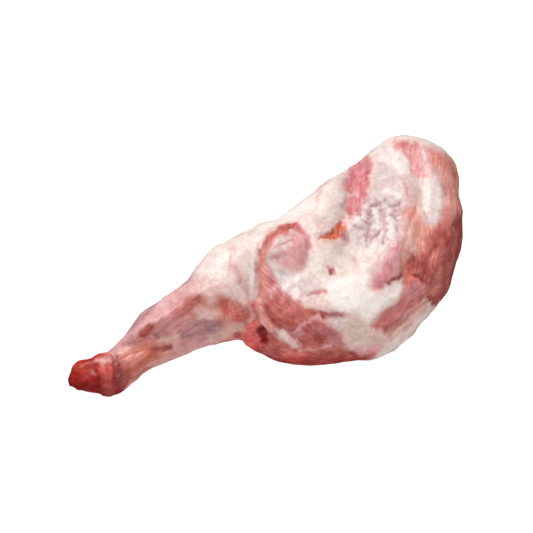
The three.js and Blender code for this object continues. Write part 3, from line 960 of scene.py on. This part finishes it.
# %% Ridges and grooves
# the half width in pixels, the height or depth in millimetres, and the line
RIDGES = {
    "fat ridge": (2.8, 1.6, FAT_RIDGE),
    "white strip": (7.0, 0.8, [(428, 184), (432, 200), (430, 216)]),
    "red band": (8.0, 1.6, [(414, 296), (398, 312), (382, 328)]),
    "elbow roll": (8.0, 0.4, [(246, 256), (247, 270), (252, 284)]),
    "far lobe": (10.0, 0.6, [(324, 204), (336, 190)]),
    "notch bulge": (6.5, 2.2, [(251, 324), (250, 338)]),
    "notch edge": (6.0, 3.4, [(247, 344), (253, 351)]),
    "crease side": (6.0, 1.0, [(253, 250), (253, 268), (252, 284)]),
    "eye dome": (12.0, 0.6, [(284, 250), (294, 254)]),
    "wedge": (8.0, 4.0, [(394, 296), (406, 288)]),
    "lower lean": (9.0, 1.0, [(314, 332), (322, 340)]),
    "right edge": (9.0, 3.0, [(460, 182), (462, 206)]),
    "fringe": (9.0, 1.4, [(426, 318), (414, 332)]),
    "hollow edge": (8.0, 2.4, [(352, 166), (368, 158)]),
    "knuckle corner": (6.0, 6.0, [(68, 384), (71, 389)]),
    "shank edge": (8.0, 1.6, [(166, 296), (182, 286)]),
}
GROOVES = {
    "crease": (2.6, 0.7, [(266, 228), (262, 244), (260, 262), (257, 284), (254, 304), (256, 318)]),
    "elbow fold": (3.0, 0.8, [(234, 248), (232, 264), (238, 280), (250, 296)]),
    "eye seam": (2.4, 0.7, [(264, 258), (270, 270), (286, 276), (301, 274), (310, 258), (311, 242)]),
    "clot hole": (4.0, 1.2, [(260, 330), (262, 336), (264, 340)]),
    "ridge seam": (2.2, 1.5, [(266, 304), (272, 321), (284, 331), (302, 342)]),
    "ridge foot": (2.2, 1.1, [(258, 314), (264, 331), (278, 343), (300, 352)]),
    "split": (2.2, 1.2, [(298, 332), (306, 324), (316, 317)]),
    "strip seam": (2.4, 1.0, [(370, 290), (374, 274), (382, 256), (394, 240)]),
    "rim seam": (2.6, 1.3, [
        (403, 288), (403, 270), (402, 252), (410, 226), (420, 206), (419, 182), (412, 160)]),
    "band seam": (2.4, 1.2, [(372, 326), (380, 316), (394, 307), (405, 298)]),
    "fringe seam": (2.4, 1.0, [(427, 298), (414, 309), (400, 320), (386, 335)]),
    "fringe line": (1.8, 0.5, FRINGE_LINE),
    "dark rim seam": (2.6, 1.3, [(424, 286), (428, 264), (438, 244), (456, 222)]),
    "hollow": (7.0, 0.8, [(356, 172), (356, 208)]),
    "nick": (2.4, 1.4, NICK),
    "far seam": (2.4, 0.8, [(343, 222), (345, 196), (345, 174)]),
    "slit": (3.0, 1.2, [(322, 239), (334, 233), (346, 228)]),
    "tear": (2.6, 1.2, TEAR),
    "shank seam": (3.0, 1.2, [(116, 350), (150, 338), (176, 322), (204, 300)]),
    "sheath seam": (2.6, 1.2, [(168, 346), (190, 340), (222, 333), (244, 322)]),
    "collar seam": (2.6, 2.0, [(113, 356), (115, 372), (116, 396)]),
    "knuckle cleft": (2.6, 0.8, [(95, 362), (97, 378), (99, 396)]),
    "far edge": (14.0, 3.6, [(256, 220), (284, 212), (312, 200)]),
    "elbow edge": (9.0, 3.4, [(180, 280), (200, 254)]),
    "elbow shoulder": (9.0, 4.4, [(224, 236), (246, 226)]),
    "knuckle top": (6.0, 2.8, [(66, 368), (76, 358), (90, 354)]),
    "notch dent": (6.0, 2.6, [(226, 346), (240, 343)]),
    "shank under": (8.0, 2.2, [(150, 376), (180, 362), (212, 351)]),
    "shank neck": (8.0, 4.4, [(128, 395), (143, 384)]),
    "knuckle foot": (7.0, 2.6, [(80, 397), (96, 399)]),
    "end corner": (8.0, 2.0, [(438, 144), (450, 152)]),
    "near corner": (11.0, 7.0, [(386, 362), (406, 354)]),
}

rise = sum(amount[tissue] * TISSUES[tissue][HEIGHT] for tissue in TISSUES)
for direction, lines in ((1.0, RIDGES), (-1.0, GROOVES)):
    for half_width, size, path in lines.values():
        rise += direction * size * seen * np.exp(-((near_line(ragged, path) / half_width) ** 2))
print("ridges", len(RIDGES), "grooves", len(GROOVES))

# %% [markdown]
# Flesh is never smooth. Everything is slightly lumpy, fat has lobules, membrane has wrinkles, and lean
# shows its bundles of fibres as low ribs, though not on the bare knuckle. The hidden sides swell with the
# muscles under them and sink at their seams. A Displace modifier could do this. Moving each point along its
# normal does the same and lets each tissue have its own noise. The foot stays flat on the ground.

# %% Relief
MILLIMETRE = 0.001
FILM_RANGE = (0.04, 0.96)
LUMPS = ((55, 0.7), (130, 0.4))
LUMP_SEED = 21
LOBULE = 0.35
LOBULES_PER_METRE = 260
RIB = 0.4
RIBS_PER_METRE = 210
SIDE_SWELL = 3.0
SWELLS_PER_METRE = 24
SEAM_DEPTH = 1.2
WRINKLE = 0.6
WRINKLES_PER_METRE = 150
FLAT_FOOT = 1e-4

film_share = smoothstep(*FILM_RANGE, film_now())
ribbed = (1.0 - film_share) * (1.0 - knuckle_share)
for number, (per_metre, size) in enumerate(LUMPS):
    rise += size * noise_at(place, per_metre, LUMP_SEED + number)
rise += LOBULE * film_share * noise_at(place, LOBULES_PER_METRE, seed=23)
rise += RIB * ribbed * fibre_noise(RIBS_PER_METRE, seed=51)
rise += SIDE_SWELL * hidden * fibre_noise(SWELLS_PER_METRE, seed=71)
rise -= SEAM_DEPTH * lean_sides * seams
rise += WRINKLE * amount["membrane"] * bundles("blade", WRINKLES_PER_METRE, seed=24)
moved = place + (rise * MILLIMETRE)[:, None] * outward
moved[:, 2] = np.maximum(moved[:, 2], 0.0)
moved[place[:, 2] < FLAT_FOOT, 2] = 0.0
mesh.vertices.foreach_set("co", moved.astype(np.float32).ravel())
mesh.shade_smooth()
mesh.update()
print("relief from", rise.min().round(2), "to", rise.max().round(2), "mm")

# %% [markdown]
# Where the relief pushes out of a tight hollow, neighbouring points cross and the skin folds over itself.
# Flesh lies open there, so the points beside every edge that bends too sharply are drawn towards their
# neighbours, a little at a time. The Smooth brush of sculpt mode would do the same by hand. The edge of the
# flat foot is left as it is.

# %% Folds
FOLD_ANGLE = math.radians(55)
FOOT_HEIGHT = 0.002
RELAX_PASSES = 24
RELAX = 0.5


def folded_edges():
    """Edges above the foot that bend more than the fold angle."""
    sharp = [edge for edge in shape.edges if edge.calc_face_angle(0.0) > FOLD_ANGLE]
    return [edge for edge in sharp if min(point.co.z for point in edge.verts) > FOOT_HEIGHT]


shape = bmesh.new()
shape.from_mesh(mesh)
print("folded edges", len(folded_edges()))
for attempt in range(RELAX_PASSES):
    faces = [face for edge in folded_edges() for face in edge.link_faces]
    corners = list(dict.fromkeys(point for face in faces for point in face.verts))
    bmesh.ops.smooth_vert(
        shape, verts=corners, factor=RELAX, use_axis_x=True, use_axis_y=True, use_axis_z=True
    )
print("folded edges left", len(folded_edges()))
shape.to_mesh(mesh)
shape.free()
mesh.update()

# %% [markdown]
# The mesh carries the tissues to the finish as named values on its points: how much film covers the lean,
# the light and the dark tone of film and lean, the roughness and the share of each fibre direction. A baked
# image could carry them too, but values on points need no unwrapping. A trace of plain tissue stays
# everywhere, so that a torn spot shows lean and not black.

# %% Values for the finish
TRACE = 0.02


def store(name, kind, slot, values):
    """Writes a number or a colour on each point of the mesh, under a name."""
    stored = mesh.attributes.new(name, kind, "POINT")
    stored.data.foreach_set(slot, np.ascontiguousarray(values, np.float32).ravel())


def mixed_tone(group, plain, tone_number):
    """The tone of a group of tissues at each point, by how much there is of each."""
    total = np.full(count, TRACE)
    tone = TRACE * linear(group[plain][tone_number])[None, :].repeat(count, 0)
    for tissue, values in group.items():
        total += amount[tissue]
        tone += amount[tissue][:, None] * linear(values[tone_number])
    return np.hstack([tone / total[:, None], np.ones((count, 1))])


for group, plain, title in ((FILMS, "fat", "film"), (LEANS, "lean", "lean")):
    store(title + "_light", "FLOAT_COLOR", "color", mixed_tone(group, plain, LIGHT))
    store(title + "_dark", "FLOAT_COLOR", "color", mixed_tone(group, plain, DARK))
store("film", "FLOAT", "value", film_share)
store("roughness", "FLOAT", "value", sum(amount[tissue] * TISSUES[tissue][ROUGHNESS] for tissue in TISSUES))
for grain in GRAINS:
    store("grain_" + grain, "FLOAT", "value", grain_share[grain])
print("stored", [stored.name for stored in mesh.attributes if stored.domain == "POINT"])

# %% [markdown]
# The finish is one material. Its nodes could be wired in the Shader Editor. A few small helpers let the
# cells below read like sums instead.

# %% Finish: helpers
paint = bpy.data.materials.new("raw_lamb")
paint.use_nodes = True
tree = paint.node_tree
surface = tree.nodes["Principled BSDF"]


def add(kind, title, **settings):
    """Adds a node with a label and its settings."""
    made = tree.nodes.new(kind)
    made.label = title
    for name, value in settings.items():
        setattr(made, name, value)
    return made


def feed(socket, value):
    """Links a socket to another one, or sets a plain number or vector on it."""
    if isinstance(value, bpy.types.NodeSocket):
        tree.links.new(value, socket)
    else:
        socket.default_value = value


def calculate(operation, *values):
    """One step of arithmetic on sockets or plain numbers."""
    made = add("ShaderNodeMath", operation.lower(), operation=operation)
    for socket, value in zip(made.inputs, values):
        feed(socket, value)
    return made.outputs[0]


def times(first, *others):
    """The product of two values or more."""
    for other in others:
        first = calculate("MULTIPLY", first, other)
    return first


def rest_of(share):
    """What a share leaves of the whole."""
    return calculate("SUBTRACT", 1.0, share)


def weighed(first, share, second):
    """A share of one value and the rest of another."""
    return calculate("MULTIPLY_ADD", first, share, times(second, 1.0 - share))


def blend(title, share, low, high):
    """Mixes two colours: the low one at a share of 0, the high one at 1."""
    made = add("ShaderNodeMix", title, data_type="RGBA")
    feed(made.inputs[0], share)
    feed(made.inputs[6], low)
    feed(made.inputs[7], high)
    return made.outputs[2]


def stretch_range(value, low, high):
    """Stretches a value softly from the range between low and high to the range from 0 to 1."""
    made = add("ShaderNodeMapRange", "range", interpolation_type="SMOOTHSTEP")
    feed(made.inputs["Value"], value)
    feed(made.inputs["From Min"], low)
    feed(made.inputs["From Max"], high)
    return made.outputs["Result"]


def stored_value(name, output="Fac"):
    """A number or a colour that the mesh carries on its points."""
    return add("ShaderNodeAttribute", name, attribute_name=name).outputs[output]


print("material", paint.name)

# %% [markdown]
# Lean is striped by its fibres, so its noise is drawn out along each muscle's direction and mixed by the
# shares on the points. Fat is built of small lobules, which a rounder noise gives. A broad mottle varies
# both, and a medium one tears the film. An image of meat would show its seams and repeats, and noise over
# the object's own coordinates has none.

# %% Finish: grain
NOISE_ROUGHNESS = 0.6
FIBRES_PER_METRE = 420
FIBRE_DETAIL = 4

coordinates = add("ShaderNodeTexCoord", "place").outputs["Object"]


def grain_noise(title, per_metre, detail, turn=0.0, stretch=1.0, shift=0.0):
    """Noise over the object's own coordinates, drawn out along a direction in plan."""
    mapping = add("ShaderNodeMapping", title)
    feed(mapping.inputs["Vector"], coordinates)
    feed(mapping.inputs["Location"], (shift, shift, shift))
    feed(mapping.inputs["Rotation"], (0.0, 0.0, -turn))
    drawn = add("ShaderNodeVectorMath", title, operation="MULTIPLY")
    feed(drawn.inputs[0], mapping.outputs["Vector"])
    feed(drawn.inputs[1], (stretch, 1.0, 1.0))
    texture = add("ShaderNodeTexNoise", title)
    feed(texture.inputs["Vector"], drawn.outputs["Vector"])
    feed(texture.inputs["Scale"], per_metre)
    feed(texture.inputs["Detail"], detail)
    feed(texture.inputs["Roughness"], NOISE_ROUGHNESS)
    return texture.outputs["Fac"]


fibres = 0.0
for grain, (degrees, stretch) in GRAINS.items():
    stripes = grain_noise(grain + " fibres", FIBRES_PER_METRE, FIBRE_DETAIL, math.radians(degrees), stretch)
    fibres = calculate("MULTIPLY_ADD", stripes, stored_value("grain_" + grain), fibres)
mottle = grain_noise("mottle", per_metre=90, detail=5)
lobules = grain_noise("lobules", per_metre=330, detail=4)
tear = grain_noise("tear", per_metre=170, detail=6, shift=0.31)
print("nodes so far", len(tree.nodes))

# %% [markdown]
# The film over the lean is torn: noise raises or lowers how much of it is left at each spot. A plain
# threshold would cut it out like paper. Working on the odds of film against lean keeps full and empty
# places as they are and breaks up only the edges between them. In the lean a few bundles keep a thin white
# sheath, but not on the knuckle.

# %% Finish: torn film
NOISE_MIDDLE = 0.5
TORN = 5.0
TORN_BY_FIBRES = 0.35
MARBLING = 0.2
MARBLING_AT = 0.56
MARBLING_WIDTH = 0.03
HERE_AND_THERE = (0.45, 0.6)


def thin_line(value, middle, width):
    """1 where a value passes its middle and 0 beyond a width, which draws winding lines."""
    away_from_middle = calculate("ABSOLUTE", calculate("SUBTRACT", value, middle))
    return rest_of(stretch_range(away_from_middle, 0.0, width))


torn_noise = calculate("SUBTRACT", weighed(fibres, TORN_BY_FIBRES, tear), NOISE_MIDDLE)
film_odds = times(stored_value("film"), calculate("EXPONENT", times(torn_noise, TORN)))
lean_odds = rest_of(stored_value("film"))
film_left = calculate("DIVIDE", film_odds, calculate("ADD", film_odds, lean_odds))

marbling = times(thin_line(fibres, MARBLING_AT, MARBLING_WIDTH), MARBLING)
marbling = times(marbling, rest_of(stored_value("grain_knuckle")), stretch_range(tear, *HERE_AND_THERE))
film_left = calculate("MAXIMUM", film_left, marbling)
print("nodes so far", len(tree.nodes))

# %% [markdown]
# Film and lean each vary between their light and their dark tone: lean by its fibres, film by its lobules,
# both by the broad mottle. In the fat a few fine veins shine through. One tone each over a bumpy surface
# would be simpler, but looks like plastic, because real meat varies in colour and not only in shine.

# %% Finish: colour
LEAN_BY_FIBRES = 0.5
LEAN_RANGE = (0.39, 0.61)
FILM_BY_LOBULES = 0.4
FILM_TONE_RANGE = (0.38, 0.62)
VEIN_TONE = (*linear((214, 150, 146)), 1.0)
VEIN_WIDTH = 0.018
VEIN_SHARE = 0.4


def tissue_colour(title, noise_value, limits):
    """The dark tone of film or lean where noise is low, and the light tone where it is high."""
    dark = stored_value(title + "_dark", "Color")
    light = stored_value(title + "_light", "Color")
    return blend(title, stretch_range(noise_value, *limits), dark, light)


lean_colour = tissue_colour("lean", weighed(fibres, LEAN_BY_FIBRES, mottle), LEAN_RANGE)
film_colour = tissue_colour("film", weighed(lobules, FILM_BY_LOBULES, mottle), FILM_TONE_RANGE)
vein = thin_line(grain_noise("veins", per_metre=38, detail=3, shift=0.73), NOISE_MIDDLE, VEIN_WIDTH)
vein_here = times(vein, stretch_range(mottle, *HERE_AND_THERE), VEIN_SHARE)
film_colour = blend("veins", vein_here, film_colour, VEIN_TONE)
colour = blend("film over lean", film_left, lean_colour, film_colour)
print("nodes so far", len(tree.nodes))

# %% [markdown]
# Fine fibres, lobules and the film's own thickness go in as bump, because they are finer than the mesh.
# More subdivision could carry them, at many times the triangles. The rougher a tissue, the more fine grain
# it gets, and the knuckle is smoother than other lean.

# %% Finish: bump
BUMP_DEPTH = 0.0010
BUMP_STRENGTH = 0.5
FILM_STEP = 0.5
LOBULE_BUMP = 0.8
FINE_BUMP = 0.5
KNUCKLE_SMOOTH = 0.7

fine = grain_noise("fine", per_metre=900, detail=3)
film_height = times(calculate("ADD", times(lobules, LOBULE_BUMP), FILM_STEP), film_left)
bundled = rest_of(times(stored_value("grain_knuckle"), KNUCKLE_SMOOTH))
lean_height = times(fibres, bundled, rest_of(film_left))
fine_height = times(fine, stored_value("roughness"), FINE_BUMP)
bump = add("ShaderNodeBump", "fibres and lobules")
feed(bump.inputs["Height"], calculate("ADD", film_height, calculate("ADD", fine_height, lean_height)))
feed(bump.inputs["Strength"], BUMP_STRENGTH)
feed(bump.inputs["Distance"], BUMP_DEPTH)
print("nodes so far", len(tree.nodes))

# %% [markdown]
# Raw meat is slightly see-through and wet. A plain glossy paint would look like enamel. So light spreads a
# few millimetres under the surface, most of all red, and a thin coat of moisture gives small sharp
# highlights over the softer ones.

# %% Finish: surface
SEE_THROUGH = 0.35
SPREAD = 0.0025
SPREAD_BY_COLOUR = (1.0, 0.4, 0.3)
SHINE = 0.35
MOISTURE = 0.25
MOISTURE_ROUGHNESS = 0.1

feed(surface.inputs["Base Color"], colour)
feed(surface.inputs["Roughness"], stored_value("roughness"))
feed(surface.inputs["Normal"], bump.outputs["Normal"])
feed(surface.inputs["Coat Normal"], bump.outputs["Normal"])
surface.inputs["Subsurface Weight"].default_value = SEE_THROUGH
surface.inputs["Subsurface Radius"].default_value = SPREAD_BY_COLOUR
surface.inputs["Subsurface Scale"].default_value = SPREAD
surface.inputs["Specular IOR Level"].default_value = SHINE
surface.inputs["Coat Weight"].default_value = MOISTURE
surface.inputs["Coat Roughness"].default_value = MOISTURE_ROUGHNESS
mesh.materials.append(paint)
print("nodes", len(tree.nodes), "materials", [slot.name for slot in mesh.materials])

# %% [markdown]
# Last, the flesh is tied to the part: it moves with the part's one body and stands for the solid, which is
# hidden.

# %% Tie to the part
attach(flesh, "root")
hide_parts("lamb_shoulder")
